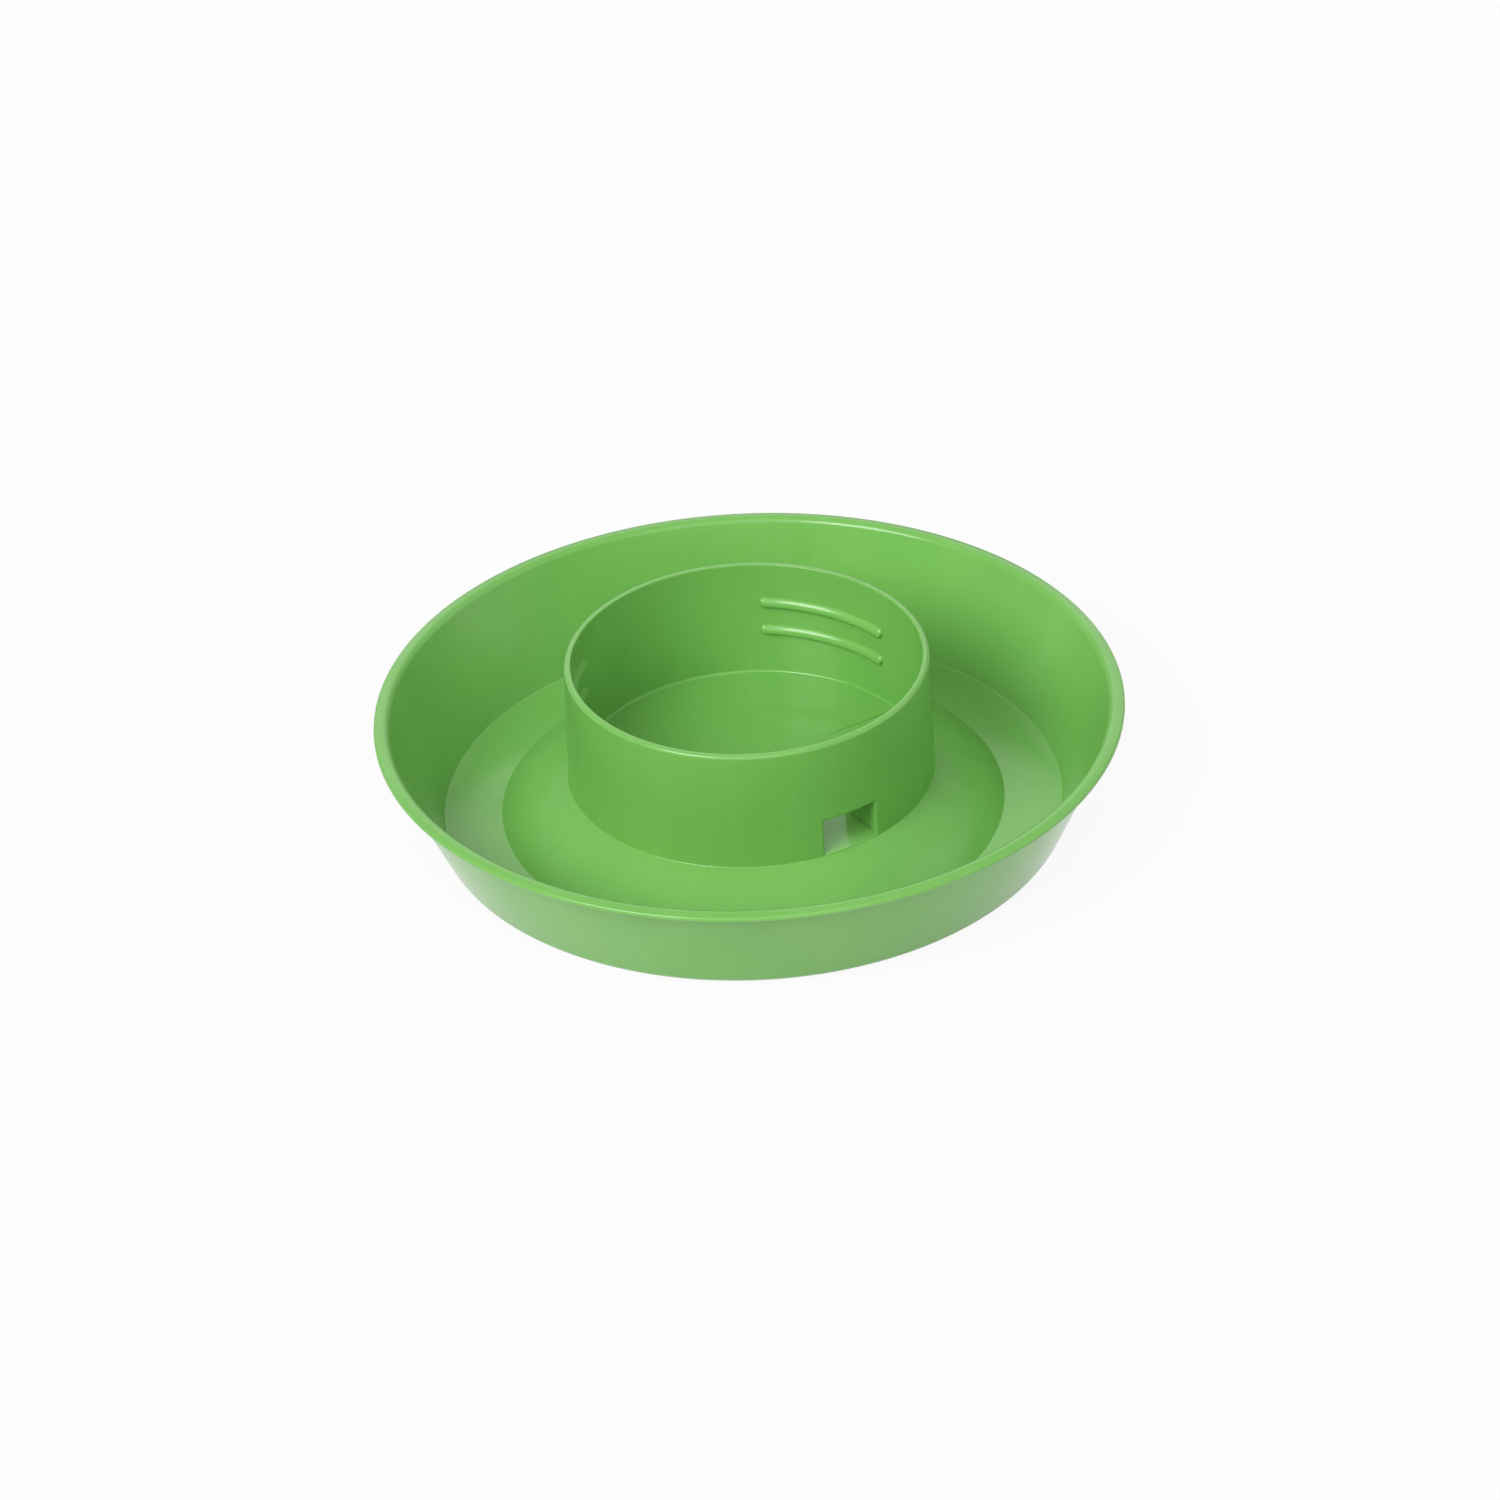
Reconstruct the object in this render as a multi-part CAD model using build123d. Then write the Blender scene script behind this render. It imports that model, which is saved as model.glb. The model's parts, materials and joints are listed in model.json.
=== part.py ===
# Screw-on feeding base for a one-gallon poultry jar, moulded in one piece.
# Frame: origin at the centre of the rest plane, +Z up, the feed window faces -Y.
# Millimetres throughout. Radii are measured from the Z axis.

import os
from math import cos, hypot, radians, sin, sqrt, tan

from build123d import *

# Moulded wall and overall size, and how far a rib runs into the wall that it grows from
WALL = 2.0
ROOT_DEPTH = 1.0
RIM_RADIUS = 117.5
TOTAL_HEIGHT = 55.6

# Collar that the jar screws into
COLLAR_TOP_RADIUS = 57.0
COLLAR_FOOT_RADIUS = 57.6
COLLAR_FOOT_HEIGHT = 15.4
BORE_RADIUS = 54.9
BORE_FOOT_RADIUS = 54.5
ENTRY_BAND = 5.2
MOUTH_INNER_BEVEL = 0.35
MOUTH_OUTER_BEVEL = 0.9
BORE_FLOOR_BEVEL = 0.8
COLLAR_FOOT_BEVEL = 0.4

# Floor inside the collar, and the pads that the threaded core segments leave on it
FLOOR_HEIGHT = 16.0
PAD_RELIEF = 0.2
PAD_CHORD = 25.0
PAD_HALF_ANGLE = 30.0

# Apron that falls from the collar to the trough: arched on top, a plain cone underneath
APRON_FOOT_RADIUS = 79.0
APRON_CURVE = 74.0
APRON_EDGE_WALL = 1.5

# Trough and its flared outer wall
TROUGH_FLOOR = 2.2
TROUGH_OUTER_RADIUS = 97.2
TROUGH_BEVEL = 0.7
FOOT_ROUND = 4.0

# Rim: a thin lip turned outwards, a little lower at its edge
RIM_HEIGHT = 37.5
LIP_WIDTH = 4.25
LIP_FALL = 0.9
LIP_ROOT_FALL = 0.3
LIP_THICKNESS = 1.8
LIP_INNER_BEVEL = 1.2
LIP_EDGE_BEVEL = 0.55

# Interrupted jar thread: one start, right hand, two turns, three ridges to each turn
THREAD_PITCH = 10.0
THREAD_SECTORS = (30.0, 150.0, 270.0)
THREAD_ARC = 43.5
THREAD_LOW_HEIGHT = 31.4
THREAD_TURNS = 2
RIDGE_HEIGHT = 2.6
RIDGE_CREST = 1.0
RIDGE_PROUD = 1.4

# Feed window at the foot of the collar, and the webs that flank it inside
WINDOW_WIDTH = 18.6
WINDOW_HEIGHT = 12.0
WINDOW_CUT = 9.0
WINDOW_EDGE_BEVEL = 0.8
WEB_SETBACK = 0.5
WEB_THICKNESS = 1.8
WEB_INNER_REACH = 38.5
WEB_HEIGHT = 12.0
WEB_ROUND = 3.0

# Gate mark under the centre
GATE_RADIUS = 1.6
GATE_HEIGHT = 0.5


def corner_near(sketch, point):
    """The vertex of a sketch that lies nearest to a point."""
    return min(sketch.vertices(), key=lambda v: hypot(v.X - point[0], v.Y - point[1]))


def hollow_radius(height):
    """Radius, at a height, of the cone under the apron: a line parallel to the arch's chord."""
    run = APRON_FOOT_RADIUS - COLLAR_FOOT_RADIUS
    fall = COLLAR_FOOT_HEIGHT - TROUGH_FLOOR
    inset = APRON_EDGE_WALL * hypot(run, fall) / fall
    return APRON_FOOT_RADIUS - inset + (TROUGH_FLOOR - height) * run / fall


def bore_radius_at(height):
    """Radius of the collar's bore, which narrows from the entry band down to the floor."""
    band_foot = TOTAL_HEIGHT - MOUTH_INNER_BEVEL - ENTRY_BAND
    share = (height - FLOOR_HEIGHT) / (band_foot - FLOOR_HEIGHT)
    return BORE_FOOT_RADIUS + (BORE_RADIUS - BORE_FOOT_RADIUS) * share


def body_section():
    """Half section of the whole moulding, in radius and height, with its corners rounded."""
    floor = FLOOR_HEIGHT - PAD_RELIEF
    flare = (RIM_RADIUS - LIP_WIDTH - TROUGH_OUTER_RADIUS) / (RIM_HEIGHT - TROUGH_FLOOR)
    wall_across = WALL * sqrt(1 + flare**2)
    foot_radius = TROUGH_OUTER_RADIUS - flare * TROUGH_FLOOR + wall_across
    lip_root_height = RIM_HEIGHT - LIP_THICKNESS - LIP_ROOT_FALL

    bore_foot = (BORE_FOOT_RADIUS, floor)
    mouth_in = (BORE_RADIUS, TOTAL_HEIGHT)
    mouth_out = (COLLAR_TOP_RADIUS, TOTAL_HEIGHT)
    band_foot = (BORE_RADIUS, TOTAL_HEIGHT - MOUTH_INNER_BEVEL - ENTRY_BAND)
    collar_foot = (COLLAR_FOOT_RADIUS, COLLAR_FOOT_HEIGHT)
    apron_foot = (APRON_FOOT_RADIUS, TROUGH_FLOOR)
    trough_corner = (TROUGH_OUTER_RADIUS, TROUGH_FLOOR)
    lip_in = (RIM_RADIUS - LIP_WIDTH, RIM_HEIGHT)
    lip_top = (RIM_RADIUS, RIM_HEIGHT - LIP_FALL)
    lip_low = (RIM_RADIUS, RIM_HEIGHT - LIP_FALL - LIP_THICKNESS)
    lip_root = (foot_radius + flare * lip_root_height, lip_root_height)
    foot = (foot_radius, 0)

    under_floor = floor - WALL
    hollow_foot = (hollow_radius(0), 0)
    hollow_top = (hollow_radius(under_floor), under_floor)

    outline = Polyline((0, floor), bore_foot, band_foot, mouth_in, mouth_out, collar_foot)
    outline += RadiusArc(collar_foot, apron_foot, APRON_CURVE)
    outline += Polyline(
        apron_foot, trough_corner, lip_in, lip_top, lip_low, lip_root, foot,
        hollow_foot, hollow_top, (0, under_floor), (0, floor),
    )
    section = make_face(outline)

    section = fillet(corner_near(section, foot), FOOT_ROUND)
    bevels = (
        (trough_corner, TROUGH_BEVEL),
        (bore_foot, BORE_FLOOR_BEVEL),
        (mouth_in, MOUTH_INNER_BEVEL),
        (mouth_out, MOUTH_OUTER_BEVEL),
        (collar_foot, COLLAR_FOOT_BEVEL),
        (lip_in, LIP_INNER_BEVEL),
        (lip_top, LIP_EDGE_BEVEL),
        (lip_low, LIP_EDGE_BEVEL),
    )
    for point, size in bevels:
        section = chamfer(corner_near(section, point), size)
    return section


def ridge_half_profile():
    """Upper half of a thread ridge: x runs inwards from the bore wall, y along the bore."""
    half = RIDGE_HEIGHT / 2
    crest = RIDGE_CREST / 2
    return make_face(
        Polyline(
            (-ROOT_DEPTH, 0), (-ROOT_DEPTH, half), (0, half), (RIDGE_PROUD, crest),
            (RIDGE_PROUD, 0), (-ROOT_DEPTH, 0),
        )
    )


def thread_ridge(sector, height):
    """One rounded ridge of the thread, centred on an angle in degrees, at a height."""
    wall_radius = bore_radius_at(height)
    rise = THREAD_PITCH * THREAD_ARC / 360
    start = sector - THREAD_ARC / 2
    path = Helix(THREAD_PITCH, rise, wall_radius)
    path = Pos(0, 0, height - rise / 2) * Rot(0, 0, start) * path
    half = ridge_half_profile()
    full = half + mirror(half, Plane.XZ)

    def facing_in(angle, level):
        """Plane on the bore wall whose x points at the axis and whose y points up."""
        turn = radians(angle)
        outward = Vector(cos(turn), sin(turn), 0)
        origin = outward * wall_radius + Vector(0, 0, level)
        return Plane(origin, x_dir=-outward, z_dir=(-outward).cross(Vector(0, 0, 1)))

    first = facing_in(start, height - rise / 2)
    last = facing_in(start + THREAD_ARC, height + rise / 2)
    ridge = sweep(first * full, path, is_frenet=True)
    for end in (first, last):
        ridge += revolve(end * half, Axis(end.origin, end.x_dir), 360)
    return ridge


def thread():
    """All the ridges: each one is higher than the last by its share of the pitch."""
    ridges = []
    for turn in range(THREAD_TURNS):
        for sector in THREAD_SECTORS:
            climb = THREAD_PITCH * (turn + (sector - THREAD_SECTORS[0]) / 360)
            ridges.append(thread_ridge(sector, THREAD_LOW_HEIGHT + climb))
    return ridges


def floor_pads():
    """Three shallow sectors of the inner floor, each ending in a chord towards the centre."""
    half_chord = PAD_CHORD * tan(radians(PAD_HALF_ANGLE))
    reach = BORE_FOOT_RADIUS
    corner = (reach * cos(radians(PAD_HALF_ANGLE)), reach * sin(radians(PAD_HALF_ANGLE)))
    outline = Polyline(
        (corner[0], -corner[1]), (PAD_CHORD, -half_chord), (PAD_CHORD, half_chord), corner
    )
    outline += ThreePointArc(corner, (reach, 0), (corner[0], -corner[1]))
    sector = extrude(make_face(outline), PAD_RELIEF)
    return [
        Pos(0, 0, FLOOR_HEIGHT - PAD_RELIEF) * Rot(0, 0, angle) * sector
        for angle in THREAD_SECTORS
    ]


def window_cutter():
    """Block that opens the collar's wall over the floor, seen along the Y axis."""
    middle = Vector(0, -(COLLAR_FOOT_RADIUS + BORE_FOOT_RADIUS) / 2, FLOOR_HEIGHT)
    return Location(middle) * Box(
        WINDOW_WIDTH, WINDOW_CUT, WINDOW_HEIGHT, align=(Align.CENTER, Align.CENTER, Align.MIN)
    )


def window_rim(body):
    """Outer edges of the window: its two jambs and its head, on the collar's outer face."""
    head = FLOOR_HEIGHT + WINDOW_HEIGHT
    jamb_y = -(COLLAR_TOP_RADIUS + BORE_RADIUS) / 2
    return [
        edge
        for edge in body.edges()
        if edge.center().Y < jamb_y
        and FLOOR_HEIGHT < edge.center().Z < head + WINDOW_EDGE_BEVEL
        and edge.bounding_box().max.Z < head + WINDOW_EDGE_BEVEL
        and abs(edge.center().X) < WINDOW_WIDTH
    ]


def web(side):
    """Upright web a little outside one jamb, from the collar's wall inwards over the floor."""
    outer = -(BORE_FOOT_RADIUS + ROOT_DEPTH)
    top = FLOOR_HEIGHT + WEB_HEIGHT
    foot = FLOOR_HEIGHT - ROOT_DEPTH
    profile = make_face(
        Polyline(
            (outer, foot), (-WEB_INNER_REACH, foot), (-WEB_INNER_REACH, top), (outer, top),
            (outer, foot),
        )
    )
    profile = fillet(corner_near(profile, (-WEB_INNER_REACH, top)), WEB_ROUND)
    plate = extrude(Plane.YZ * profile, WEB_THICKNESS)
    middle = side * (WINDOW_WIDTH / 2 + WEB_SETBACK + WEB_THICKNESS / 2)
    return Pos(middle - WEB_THICKNESS / 2, 0, 0) * plate


def feeder_base():
    """The whole moulding as one solid."""
    body = revolve(Plane.XZ * body_section(), Axis.Z, 360)
    body += thread()
    body += floor_pads()
    body += [web(1), web(-1)]
    body -= window_cutter()
    body = chamfer(window_rim(body), WINDOW_EDGE_BEVEL)
    under_floor = FLOOR_HEIGHT - PAD_RELIEF - WALL
    body += Pos(0, 0, under_floor - GATE_HEIGHT) * Cylinder(
        GATE_RADIUS, WALL, align=(Align.CENTER, Align.CENTER, Align.MIN)
    )
    return body


os.makedirs("parts", exist_ok=True)
export_step(feeder_base(), "parts/feeder_base.step")
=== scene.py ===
import json
from math import atan2, cos, degrees, hypot, pi, radians, sin, sqrt, tan

import bmesh
import bpy
from mathutils import Matrix, Vector


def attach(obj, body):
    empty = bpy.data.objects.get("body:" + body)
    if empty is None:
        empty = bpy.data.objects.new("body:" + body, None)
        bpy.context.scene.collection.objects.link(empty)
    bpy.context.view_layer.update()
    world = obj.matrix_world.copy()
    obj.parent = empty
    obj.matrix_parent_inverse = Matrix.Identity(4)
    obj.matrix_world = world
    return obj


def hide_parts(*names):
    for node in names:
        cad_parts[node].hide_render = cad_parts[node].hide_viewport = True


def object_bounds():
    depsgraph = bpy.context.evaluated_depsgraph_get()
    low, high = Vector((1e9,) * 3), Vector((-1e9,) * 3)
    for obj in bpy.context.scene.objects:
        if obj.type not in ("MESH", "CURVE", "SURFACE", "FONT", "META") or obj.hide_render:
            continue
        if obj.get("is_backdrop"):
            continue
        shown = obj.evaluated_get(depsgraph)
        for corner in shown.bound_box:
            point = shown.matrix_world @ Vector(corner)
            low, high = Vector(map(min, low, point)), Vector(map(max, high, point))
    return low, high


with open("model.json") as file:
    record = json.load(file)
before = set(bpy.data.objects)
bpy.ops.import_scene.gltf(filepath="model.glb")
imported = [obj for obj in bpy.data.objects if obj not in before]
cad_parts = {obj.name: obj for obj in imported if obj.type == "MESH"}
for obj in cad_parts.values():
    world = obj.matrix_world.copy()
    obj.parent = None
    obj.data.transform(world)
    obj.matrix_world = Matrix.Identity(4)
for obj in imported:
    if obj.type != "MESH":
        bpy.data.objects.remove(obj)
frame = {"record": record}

cad_low, cad_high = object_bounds()

# The turned body: trough, apron, collar and lip in one wall of about 2 mm. The real one is a single
# injection moulding of polypropylene, so its section is drawn once, with the small radii that a mould
# leaves on every corner, and spun about the upright axis.
MM = 0.001
wall = 2.0 * MM
rim_radius = cad_high.x
rim_height = 37.5 * MM
lip_width = 4.25 * MM
lip_fall = 0.9 * MM
lip_crown = 0.15 * MM
lip_thickness = 1.8 * MM
total_height = cad_high.z
jar_collar = next(mount for mount in frame["record"]["mounts"] if mount["name"] == "jar_collar")
bore_radius = jar_collar["dims"]["r_mm"] * MM
bore_foot_radius = bore_radius - 0.4 * MM
entry_foot = jar_collar["pos_m"][2] - jar_collar["dims"]["length_mm"] * MM / 2
collar_top_radius = 57.0 * MM
collar_foot_radius = 57.6 * MM
collar_foot_height = 15.4 * MM
floor_height = 16.0 * MM
pad_relief = 0.2 * MM
turned_floor = floor_height - pad_relief
apron_foot_radius = 79.0 * MM
apron_curve = 74.0 * MM
trough_floor = 2.2 * MM
trough_outer_radius = 97.2 * MM
hollow_foot_radius = 79.7 * MM
hollow_top_radius = 57.3 * MM
steps_round = 256
apron_steps = 12


def only(*pieces):
    """Selects these pieces alone, the first as the active one."""
    bpy.ops.object.select_all(action="DESELECT")
    for piece in pieces:
        piece.select_set(True)
    bpy.context.view_layer.objects.active = pieces[0]


def pick(piece, test):
    """Selects, in edit mode, the vertices whose place passes a test."""
    mesh = bmesh.from_edit_mesh(piece.data)
    bpy.ops.mesh.select_all(action="DESELECT")
    for vertex in mesh.verts:
        vertex.select = test(vertex.co)
    mesh.select_flush_mode()
    bmesh.update_edit_mesh(piece.data)


flare = (rim_radius - lip_width - trough_outer_radius) / (rim_height - trough_floor)
foot_radius = trough_outer_radius - flare * trough_floor + wall * sqrt(1 + flare**2)
lip_root_height = rim_height - lip_thickness - lip_fall / 3
lip_crown_height = rim_height - lip_fall / 2 + lip_crown

chord = Vector((apron_foot_radius - collar_foot_radius, trough_floor - collar_foot_height))
middle = Vector((apron_foot_radius + collar_foot_radius, trough_floor + collar_foot_height)) / 2
inward = Vector((chord.y, -chord.x)).normalized()
centre = middle + inward * sqrt(apron_curve**2 - chord.length_squared / 4)
first = atan2(collar_foot_height - centre.y, collar_foot_radius - centre.x)
last = atan2(trough_floor - centre.y, apron_foot_radius - centre.x)
apron = []
for step in range(1, apron_steps):
    angle = first + (last - first) * step / apron_steps
    apron.append((centre.x + apron_curve * cos(angle), centre.y + apron_curve * sin(angle), 0))

section = [
    (0, turned_floor, 0),
    (bore_foot_radius, turned_floor, 1.0),
    (bore_radius, entry_foot, 0),
    (bore_radius, total_height, 0.4),
    (collar_top_radius, total_height, 1.2),
    (collar_foot_radius, collar_foot_height, 0.5),
    *apron,
    (apron_foot_radius, trough_floor, 0.6),
    (trough_outer_radius, trough_floor, 0.8),
    (rim_radius - lip_width, rim_height, 2.4),
    (rim_radius - lip_width / 2, lip_crown_height, 0),
    (rim_radius, rim_height - lip_fall, 0.8),
    (rim_radius, rim_height - lip_fall - lip_thickness, 0.8),
    (foot_radius + flare * lip_root_height, lip_root_height, 0.8),
    (foot_radius, 0, 4.0),
    (hollow_foot_radius, 0, 0.8),
    (hollow_top_radius, turned_floor - wall, 1.0),
    (0, turned_floor - wall, 0),
]

bpy.ops.object.select_all(action="DESELECT")
bpy.ops.mesh.primitive_plane_add(size=MM)
body = bpy.context.object
body.name = "moulded_base"
body.data.name = "moulded_base"
bpy.ops.object.mode_set(mode="EDIT")
bpy.ops.mesh.select_all(action="SELECT")
bpy.ops.mesh.merge(type="CENTER")
bpy.ops.transform.translate(value=(0, 0, section[0][1]))
for before, after in zip(section, section[1:]):
    step = (after[0] - before[0], 0, after[1] - before[1])
    bpy.ops.mesh.extrude_region_move(TRANSFORM_OT_translate={"value": step})
for before, corner, after in zip(section, section[1:], section[2:]):
    radius, height, rounding = corner
    if rounding:
        along = Vector((radius - before[0], height - before[1]))
        onward = Vector((after[0] - radius, after[1] - height))
        turn = along.angle(onward)
        pick(body, lambda place: hypot(place.x - radius, place.z - height) < 0.01 * MM)
        bpy.ops.mesh.bevel(
            affect="VERTICES",
            offset_type="OFFSET",
            offset=rounding * MM * tan(turn / 2),
            segments=max(3, round(degrees(turn) / 12)),
            clamp_overlap=False,
        )
bpy.ops.mesh.select_all(action="SELECT")
bpy.ops.mesh.spin(steps=steps_round, angle=2 * pi, center=(0, 0, 0), axis=(0, 0, 1))
bpy.ops.mesh.select_all(action="SELECT")
bpy.ops.mesh.remove_doubles(threshold=0.001 * MM)
bpy.ops.mesh.normals_make_consistent(inside=False)
bpy.ops.object.mode_set(mode="OBJECT")

# The jar thread: six rounded ridges inside the collar, three to a turn, left by the segments of a core
# that folds inwards to let the moulding go. One start, right hand, with a smooth gap between the sets.
thread_sets = (radians(30), radians(150), radians(270))
thread_arc = radians(43.5)
thread_pitch = 10.0 * MM
thread_low = 31.4 * MM
thread_turns = 2
ridge_height = 3.0 * MM
ridge_proud = 1.5 * MM
ridge_sag = 0.5
ridge_root_radius = bore_radius - 0.15 * MM
ridge_cuts = 14

additions = []
for turn in range(thread_turns):
    for place in thread_sets:
        level = thread_low + thread_pitch * (turn + (place - thread_sets[0]) / (2 * pi))
        bpy.ops.object.select_all(action="DESELECT")
        bpy.ops.mesh.primitive_uv_sphere_add(
            segments=20, ring_count=16, radius=1, rotation=(0, pi / 2, 0),
            scale=(ridge_height / 2, ridge_proud, ridge_height / 2),
        )
        ridge = bpy.context.object
        ridge.name = f"thread_ridge_{len(additions) + 1}"
        bpy.ops.object.transform_apply(location=True, rotation=True, scale=True)
        stretch = ridge_root_radius * thread_arc / 2
        bpy.ops.object.mode_set(mode="EDIT")
        for side in (1, -1):
            pick(ridge, lambda co: co.x * side > 0.01 * MM)
            bpy.ops.transform.translate(value=(side * stretch, 0, 0))
        mesh = bmesh.from_edit_mesh(ridge.data)
        bpy.ops.mesh.select_mode(type="EDGE")
        bpy.ops.mesh.select_all(action="DESELECT")
        for edge in mesh.edges:
            edge.select = edge.calc_length() > stretch / 2
        bmesh.update_edit_mesh(ridge.data)
        bpy.ops.mesh.subdivide(number_cuts=ridge_cuts)
        bpy.ops.mesh.select_mode(type="VERT")
        bpy.ops.object.mode_set(mode="OBJECT")
        for vertex in ridge.data.vertices:
            along, inwards, rise = vertex.co
            angle = along / ridge_root_radius
            radius = ridge_root_radius - inwards
            vertex.co = (
                radius * cos(place + angle),
                radius * sin(place + angle),
                level + rise - ridge_sag * max(inwards, 0) + thread_pitch * angle / (2 * pi),
            )
        only(ridge)
        bpy.ops.object.mode_set(mode="EDIT")
        bpy.ops.mesh.select_all(action="SELECT")
        bpy.ops.mesh.normals_make_consistent(inside=False)
        bpy.ops.object.mode_set(mode="OBJECT")
        additions.append(ridge)

# The webs: two upright ribs that flank the feed window inside the collar and keep the jar's rim and the
# heaped feed off it. Each is moulded with the collar and rises from its floor.
window_width = 18.6 * MM
web_setback = 0.5 * MM
web_thickness = 1.8 * MM
web_reach = 38.5 * MM
web_height = 12.0 * MM
web_round = 3.0 * MM
web_edge = 0.35 * MM
web_back = bore_foot_radius + wall / 2
for side in (1, -1):
    bpy.ops.object.select_all(action="DESELECT")
    bpy.ops.mesh.primitive_cube_add(
        size=1,
        location=(
            side * (window_width / 2 + web_setback + web_thickness / 2),
            -(web_back + web_reach) / 2,
            floor_height + (web_height - wall / 2) / 2,
        ),
        scale=(web_thickness, web_back - web_reach, web_height + wall / 2),
    )
    web = bpy.context.object
    web.name = "web_right" if side > 0 else "web_left"
    bpy.ops.object.transform_apply(location=True, rotation=True, scale=True)
    bpy.ops.object.mode_set(mode="EDIT")
    pick(web, lambda co: co.y > -web_reach - MM and co.z > floor_height)
    bpy.ops.mesh.bevel(offset=web_round, segments=8, affect="EDGES")
    pick(web, lambda co: co.z > floor_height)
    mesh = bmesh.from_edit_mesh(web.data)
    bpy.ops.mesh.select_all(action="DESELECT")
    for edge in mesh.edges:
        edge.select = edge.calc_face_angle(0) > radians(60) and edge.verts[0].co.y > -web_back + MM
    bmesh.update_edit_mesh(web.data)
    bpy.ops.mesh.bevel(offset=web_edge, segments=3, affect="EDGES")
    bpy.ops.object.mode_set(mode="OBJECT")
    additions.append(web)

# The pads: three shallow sectors of the floor under the thread sets, one for each segment of the core,
# each ending in a chord towards the middle. Their edges are the faint witness lines on the floor.
pad_half_angle = radians(30)
pad_chord = 25.0 * MM
pad_depth = 1.0 * MM
for place in thread_sets:
    bpy.ops.object.select_all(action="DESELECT")
    bpy.ops.mesh.primitive_cylinder_add(
        vertices=steps_round,
        radius=bore_foot_radius + wall / 2,
        depth=pad_depth,
        location=(0, 0, floor_height - pad_depth / 2),
    )
    pad = bpy.context.object
    pad.name = f"floor_pad_{len(additions) + 1}"
    bpy.ops.object.transform_apply(location=True, rotation=True, scale=True)
    bpy.ops.object.mode_set(mode="EDIT")
    for turned, distance in ((place + pad_half_angle + pi / 2, 0), (place - pad_half_angle - pi / 2, 0),
                             (place + pi, -pad_chord)):
        outward = Vector((cos(turned), sin(turned), 0))
        bpy.ops.mesh.select_all(action="SELECT")
        bpy.ops.mesh.bisect(
            plane_co=outward * distance, plane_no=outward, use_fill=True, clear_outer=True,
        )
    bpy.ops.mesh.select_all(action="SELECT")
    bpy.ops.mesh.normals_make_consistent(inside=False)
    bpy.ops.object.mode_set(mode="OBJECT")
    additions.append(pad)

# The gate mark: the stub that is left where the plastic was let into the mould, under the middle.
gate_radius = 1.6 * MM
gate_height = 0.5 * MM
bpy.ops.object.select_all(action="DESELECT")
bpy.ops.mesh.primitive_cylinder_add(
    vertices=32,
    radius=gate_radius,
    depth=wall,
    location=(0, 0, turned_floor - wall - gate_height + wall / 2),
)
gate = bpy.context.object
gate.name = "gate_mark"
bpy.ops.object.transform_apply(location=True, rotation=True, scale=True)
additions.append(gate)

for piece in additions:
    only(body)
    union = body.modifiers.new("join", "BOOLEAN")
    union.operation = "UNION"
    union.solver = "EXACT"
    union.object = piece
    bpy.ops.object.modifier_apply(modifier=union.name)
    bpy.data.objects.remove(piece)

# The feed window: an opening through the collar's wall, level with its floor. Its jambs are flat and
# square to the wall's middle, and its outer edges are rounded over onto the round face of the collar.
window_height = 12.0 * MM
window_round = 1.0 * MM
sill_round = 0.4 * MM
window_reach = 5.0 * MM
window_clear = 1.5 * MM
window_divisions = 24
round_steps = 6


def eased(rounding, depth):
    """How far a convex rounding has opened out at a depth below the face that it runs onto."""
    short = rounding - max(depth, 0)
    return rounding - sqrt(rounding**2 - short**2) if short > 0 else 0


depths = [window_reach]
for rounding in (window_round, sill_round):
    depths += [rounding * (1 - sin(pi / 2 * step / round_steps)) for step in range(round_steps + 1)]
depths = sorted(set(round(depth, 7) for depth in depths), reverse=True) + [-window_clear]
bpy.ops.object.select_all(action="DESELECT")
bpy.ops.mesh.primitive_grid_add(
    x_subdivisions=window_divisions, y_subdivisions=window_divisions // 2, size=1,
)
window = bpy.context.object
bpy.ops.object.mode_set(mode="EDIT")
bpy.ops.mesh.select_all(action="SELECT")
for _ in depths[1:]:
    bpy.ops.mesh.extrude_region_move(TRANSFORM_OT_translate={"value": (0, 0, 1)})
bpy.ops.object.mode_set(mode="OBJECT")
for vertex in window.data.vertices:
    across, upward, step = vertex.co
    depth = depths[round(step)]
    x = 2 * across * (window_width / 2 + eased(window_round, depth))
    low = floor_height - eased(sill_round, depth)
    high = floor_height + window_height + eased(window_round, depth)
    z = low + (upward + 0.5) * (high - low)
    taper = (collar_foot_radius - collar_top_radius) / (total_height - collar_foot_height)
    face = collar_foot_radius - taper * (z - collar_foot_height)
    vertex.co = (x, -sqrt((face - depth) ** 2 - x**2), z)
only(window)
bpy.ops.object.mode_set(mode="EDIT")
bpy.ops.mesh.select_all(action="SELECT")
bpy.ops.mesh.normals_make_consistent(inside=False)
bpy.ops.object.mode_set(mode="OBJECT")

# The line beside each web: the insert that shuts the window off leaves a fine groove along its foot.
groove = 0.3 * MM
cutters = [window]
for side in (1, -1):
    bpy.ops.object.select_all(action="DESELECT")
    bpy.ops.mesh.primitive_cube_add(
        size=1,
        location=(
            side * (window_width / 2 + web_setback - groove / 2),
            -(bore_foot_radius - MM + web_reach) / 2,
            floor_height,
        ),
        scale=(groove, bore_foot_radius - MM - web_reach, 2 * groove),
    )
    bpy.ops.object.transform_apply(location=True, rotation=True, scale=True)
    cutters.append(bpy.context.object)

for cutter in cutters:
    only(body)
    cut = body.modifiers.new("cut", "BOOLEAN")
    cut.operation = "DIFFERENCE"
    cut.solver = "EXACT"
    cut.object = cutter
    bpy.ops.object.modifier_apply(modifier=cut.name)
    bpy.data.objects.remove(cutter)

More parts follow.
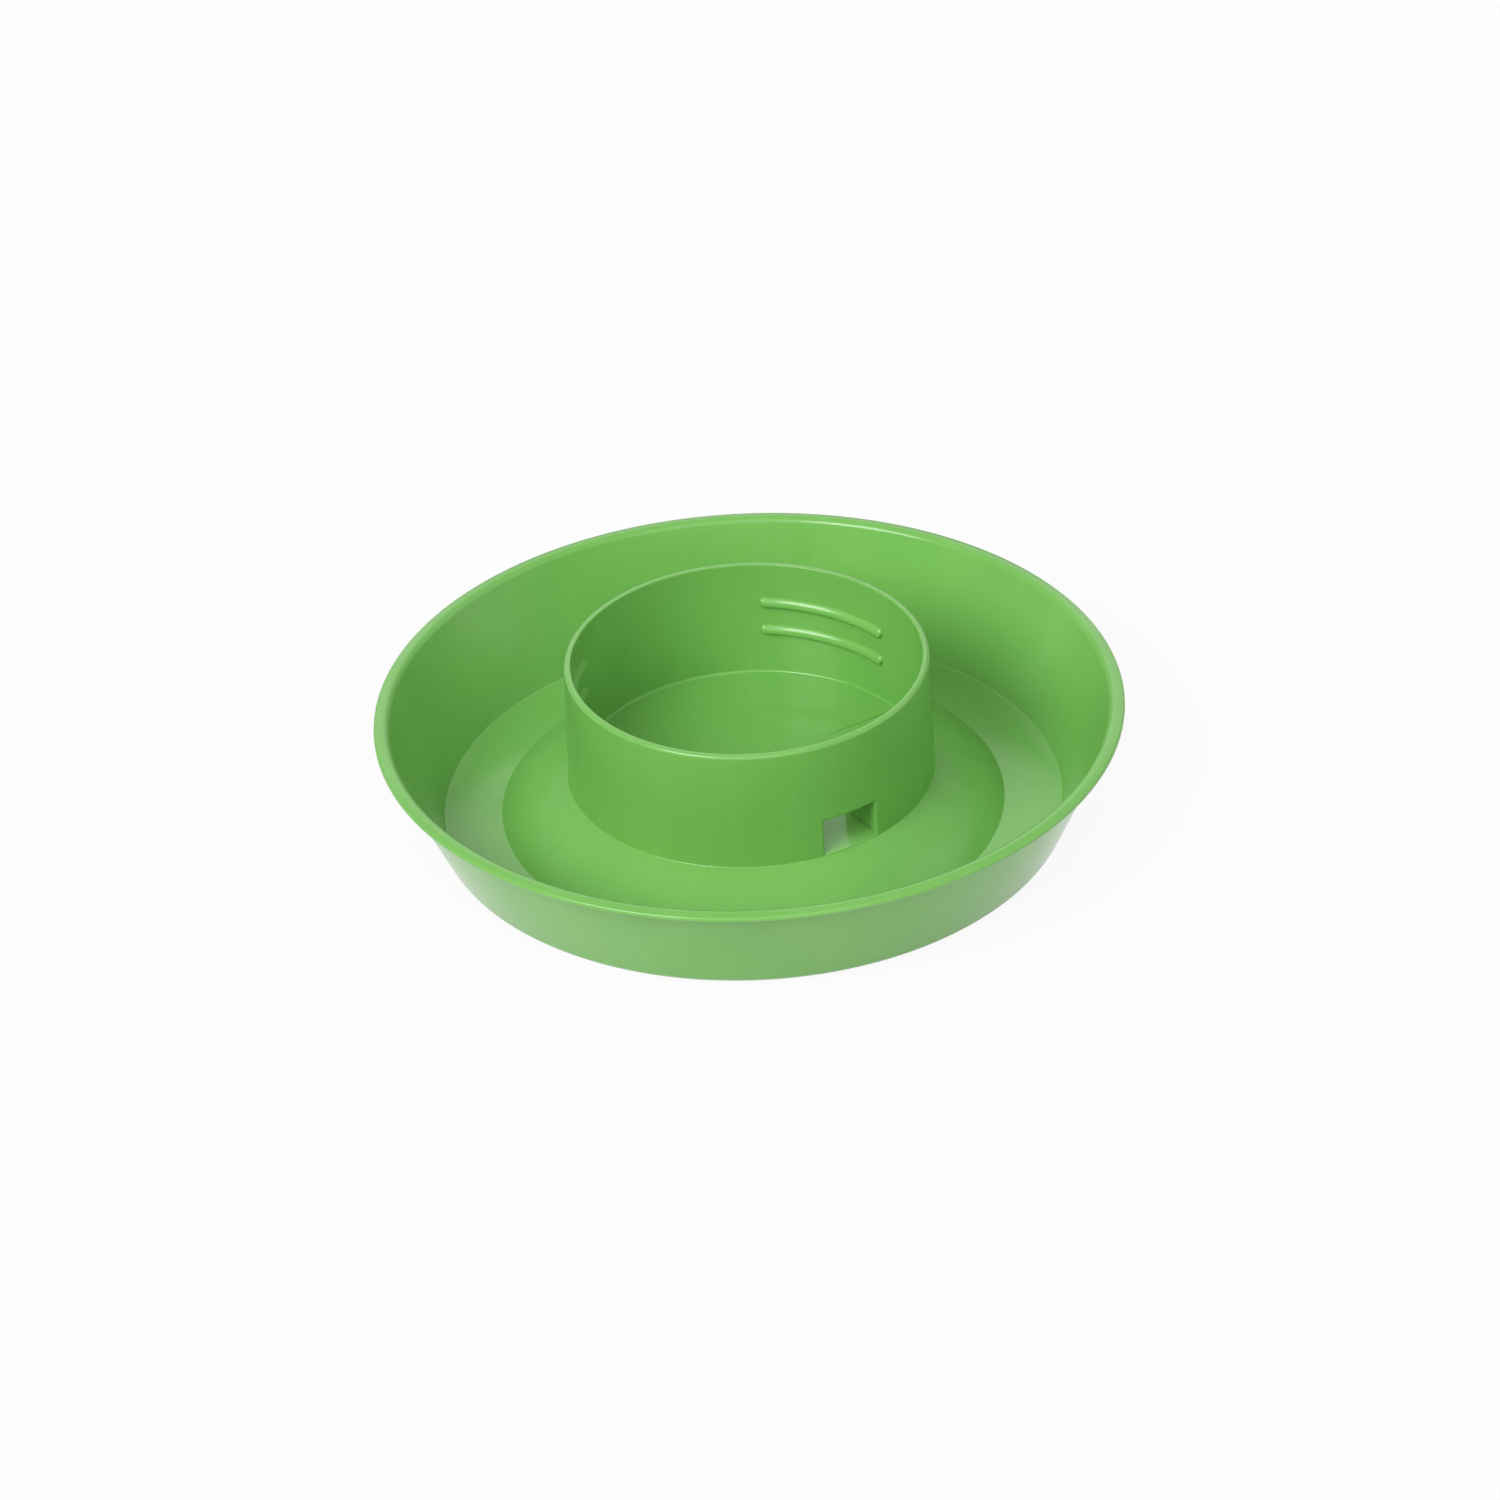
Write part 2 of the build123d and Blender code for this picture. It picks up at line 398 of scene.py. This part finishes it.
bpy.ops.object.mode_set(mode="EDIT")
bpy.ops.mesh.select_all(action="SELECT")
bpy.ops.mesh.remove_doubles(threshold=0.002 * MM)
bpy.ops.mesh.select_mode(type="VERT")
bpy.ops.object.mode_set(mode="OBJECT")

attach(body, "root")
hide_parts("feeder_base")
only(body)
bpy.ops.object.shade_smooth_by_angle(angle=radians(32))
weigh = body.modifiers.new("weigh", "WEIGHTED_NORMAL")
weigh.keep_sharp = True
bpy.ops.object.modifier_apply(modifier=weigh.name)


# The plastic: glossy polypropylene, coloured lime green right through and moulded against polished
# steel. The eye gets a clean gloss, broken by faint flow marks out of the gate, the fine rings of the
# turned mould and a slight unevenness where the wall shrank.
def linear(code):
    """A written sRGB colour as linear light."""
    channels = [int(code[start:start + 2], 16) / 255 for start in (0, 2, 4)]
    return (*(c / 12.92 if c <= 0.04045 else ((c + 0.055) / 1.055) ** 2.4 for c in channels), 1)


def node(tree, kind, inputs, **settings):
    """Adds a node with its settings; an input is a value, or another node's output to link."""
    made = tree.nodes.new(kind)
    for name, value in settings.items():
        setattr(made, name, value)
    for name, value in inputs.items():
        if isinstance(value, bpy.types.NodeSocket):
            tree.links.new(value, made.inputs[name])
        else:
            made.inputs[name].default_value = value
    return made.outputs


plastic = bpy.data.materials.new("moulded_polypropylene")
plastic.use_nodes = True
tree = plastic.node_tree
shader = tree.nodes["Principled BSDF"]
green = linear("75B457")
green_deep = linear("6FB052")
green_pale = linear("7DBA5F")
place = node(tree, "ShaderNodeTexCoord", {})["Object"]
parts = node(tree, "ShaderNodeSeparateXYZ", {"Vector": place})
level_place = node(tree, "ShaderNodeCombineXYZ", {"X": parts["X"], "Y": parts["Y"]})["Vector"]
out = node(tree, "ShaderNodeVectorMath", {0: level_place}, operation="LENGTH")["Value"]
bearing = node(tree, "ShaderNodeVectorMath", {0: level_place}, operation="NORMALIZE")["Vector"]

# Slow drift of the pigment, in clouds of about 30 mm
clouds = node(tree, "ShaderNodeTexNoise", {"Vector": place, "Scale": 1 / 0.030, "Detail": 3.0})["Fac"]
# Flow marks: streaks a few degrees wide that run outwards from the gate and fade in and out
fan = node(tree, "ShaderNodeVectorMath", {0: bearing, "Scale": 14.0}, operation="SCALE")["Vector"]
reach = node(tree, "ShaderNodeVectorMath", {0: place, "Scale": 1 / 0.060}, operation="SCALE")["Vector"]
stream = node(tree, "ShaderNodeVectorMath", {0: fan, 1: reach}, operation="ADD")["Vector"]
flow = node(tree, "ShaderNodeTexNoise", {"Vector": stream, "Scale": 1.0, "Detail": 2.0})["Fac"]
away = node(
    tree, "ShaderNodeMapRange",
    {"Value": out, "From Min": 0.015, "From Max": 0.060, "To Max": 0.3}, interpolation_type="SMOOTHSTEP",
)["Result"]
# Rings of the turned mould, 1.6 mm apart, coarser than the real ones so that they show
turned = node(tree, "ShaderNodeMath", {0: out, 1: parts["Z"]}, operation="ADD")["Value"]
rings = node(
    tree, "ShaderNodeTexNoise", {"W": turned, "Scale": 1 / 0.0016, "Detail": 2.0}, noise_dimensions="1D",
)["Fac"]
# Shrinkage waves, about 9 mm long
waves = node(tree, "ShaderNodeTexNoise", {"Vector": place, "Scale": 1 / 0.009, "Detail": 1.0})["Fac"]
drift = node(tree, "ShaderNodeMapRange", {"Value": clouds, "From Min": 0.3, "From Max": 0.7})["Result"]
pigment = node(
    tree, "ShaderNodeMix", {"Factor": drift, "A": green, "B": green_deep}, data_type="RGBA",
)["Result"]
marked = node(
    tree, "ShaderNodeMapRange", {"Value": flow, "From Min": 0.5, "From Max": 0.8, "To Max": away},
)["Result"]
colour = node(
    tree, "ShaderNodeMix", {"Factor": marked, "A": pigment, "B": green_pale}, data_type="RGBA",
)["Result"]
tree.links.new(colour, shader.inputs["Base Color"])

gloss = node(
    tree, "ShaderNodeMapRange",
    {"Value": clouds, "From Min": 0.3, "From Max": 0.7, "To Min": 0.15, "To Max": 0.20},
)["Result"]
ringed = node(
    tree, "ShaderNodeMapRange",
    {"Value": rings, "From Min": 0.3, "From Max": 0.7, "To Min": -0.01, "To Max": 0.01},
)["Result"]
polish = node(tree, "ShaderNodeMath", {0: gloss, 1: ringed}, operation="ADD")["Value"]
tree.links.new(polish, shader.inputs["Roughness"])

uneven = node(tree, "ShaderNodeBump", {"Strength": 1.0, "Distance": 0.00003, "Height": waves})["Normal"]
grooved = node(
    tree, "ShaderNodeBump", {"Strength": 1.0, "Distance": 0.000001, "Height": rings, "Normal": uneven},
)["Normal"]
tree.links.new(grooved, shader.inputs["Normal"])
shader.inputs["IOR"].default_value = 1.49
body.data.materials.clear()
body.data.materials.append(plastic)

# The floor: a wide sheet of pale paper, a hair below the foot so that the two don't share a plane. The
# camera and the reflections see most of it as plain white, and the rest of it takes the soft shadow.
paper_size = 30.0
paper_gap = 0.05 * MM
paper_white = linear("D8D8D8")
paper_shown = 0.92
bpy.ops.object.select_all(action="DESELECT")
bpy.ops.mesh.primitive_plane_add(size=paper_size, location=(0, 0, -paper_gap))
ground = bpy.context.object
ground.name = "ground"
ground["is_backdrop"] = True
paper = bpy.data.materials.new("white_paper")
paper.use_nodes = True
tree = paper.node_tree
tree.nodes.clear()
matt = node(tree, "ShaderNodeBsdfDiffuse", {"Color": paper_white})["BSDF"]
glow = node(tree, "ShaderNodeEmission", {"Color": (1, 1, 1, 1), "Strength": 1.0})["Emission"]
rays = node(tree, "ShaderNodeLightPath", {})
mirrored = node(
    tree, "ShaderNodeMath", {0: rays["Is Camera Ray"], 1: rays["Is Glossy Ray"]}, operation="MAXIMUM",
)["Value"]
shown = node(
    tree, "ShaderNodeMath", {0: mirrored, 1: rays["Is Transmission Ray"]}, operation="MAXIMUM",
)["Value"]
share = node(tree, "ShaderNodeMath", {0: shown, 1: paper_shown}, operation="MULTIPLY")["Value"]
sheet = node(tree, "ShaderNodeMixShader", {0: share, 1: matt, 2: glow})["Shader"]
node(tree, "ShaderNodeOutputMaterial", {"Surface": sheet})
ground.data.materials.append(paper)

# Light: a pale room and four softboxes, each a wide disc of light. The key stands on the left and puts
# the long highlights on the threads and the lip, a fill stands over the camera, and two weak ones on the
# right and behind give the trough's floor its sheen. Each has its bearing off the camera's, its elevation
# and its width in degrees, and the level at which a white sheet that faces it renders.
camera_azimuth = radians(-31.4)
softboxes = {
    "key_softbox": (-44, 41, 32, 0.65),
    "camera_softbox": (2, 42, 60, 0.32),
    "right_softbox": (95, 28, 50, 0.10),
    "back_softbox": (180, 30, 45, 0.12),
}
for name, (bearing_off, elevation_up, width, strength) in softboxes.items():
    azimuth = camera_azimuth + radians(bearing_off)
    elevation = radians(elevation_up)
    toward = Vector((sin(azimuth) * cos(elevation), -cos(azimuth) * cos(elevation), sin(elevation)))
    bpy.ops.object.light_add(type="SUN", location=toward)
    lamp = bpy.context.object
    lamp.name = name
    lamp.rotation_euler = toward.to_track_quat("Z", "Y").to_euler()
    lamp.data.angle = radians(width)
    lamp.data.energy = pi * strength

room_light = 0.40
world = bpy.data.worlds.new("studio")
bpy.context.scene.world = world
world.use_nodes = True
room = world.node_tree.nodes["Background"]
room.inputs["Color"].default_value = (1, 1, 1, 1)
room.inputs["Strength"].default_value = room_light

# Camera: above the front, turned until the window stands to the right of the middle, and rolled a
# little as the photograph is. The object's middle lies off the frame's, which the shift takes up.
camera_data = bpy.data.cameras.new("camera")
camera = bpy.data.objects.new("camera", camera_data)
bpy.context.collection.objects.link(camera)
bpy.context.scene.camera = camera
camera_elevation = radians(33.17)
camera_roll = radians(-2.77)
camera_distance = 3.0
focal_px = 373.5 * 3000 / 117.5
frame_px = 1500
camera_data.sensor_width = 36
camera_data.lens = 36 * focal_px / frame_px
back = Vector((
    sin(camera_azimuth) * cos(camera_elevation),
    -cos(camera_azimuth) * cos(camera_elevation),
    sin(camera_elevation),
))
right = Vector((cos(camera_azimuth), sin(camera_azimuth), 0))
up = back.cross(right)
tilted_right = right * cos(camera_roll) + up * sin(camera_roll)
tilted_up = -right * sin(camera_roll) + up * cos(camera_roll)
aim = Vector((0, 0, 0.65 * MM))
place = Matrix((tilted_right, tilted_up, back)).transposed().to_4x4()
place.translation = aim + back * camera_distance
camera.matrix_world = place
camera_data.shift_x = -(753.5 - 750) / frame_px
camera_data.shift_y = (805.2 - 750) / frame_px
camera_data.clip_end = 50
bpy.context.scene.view_settings.view_transform = "Standard"

low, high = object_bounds()
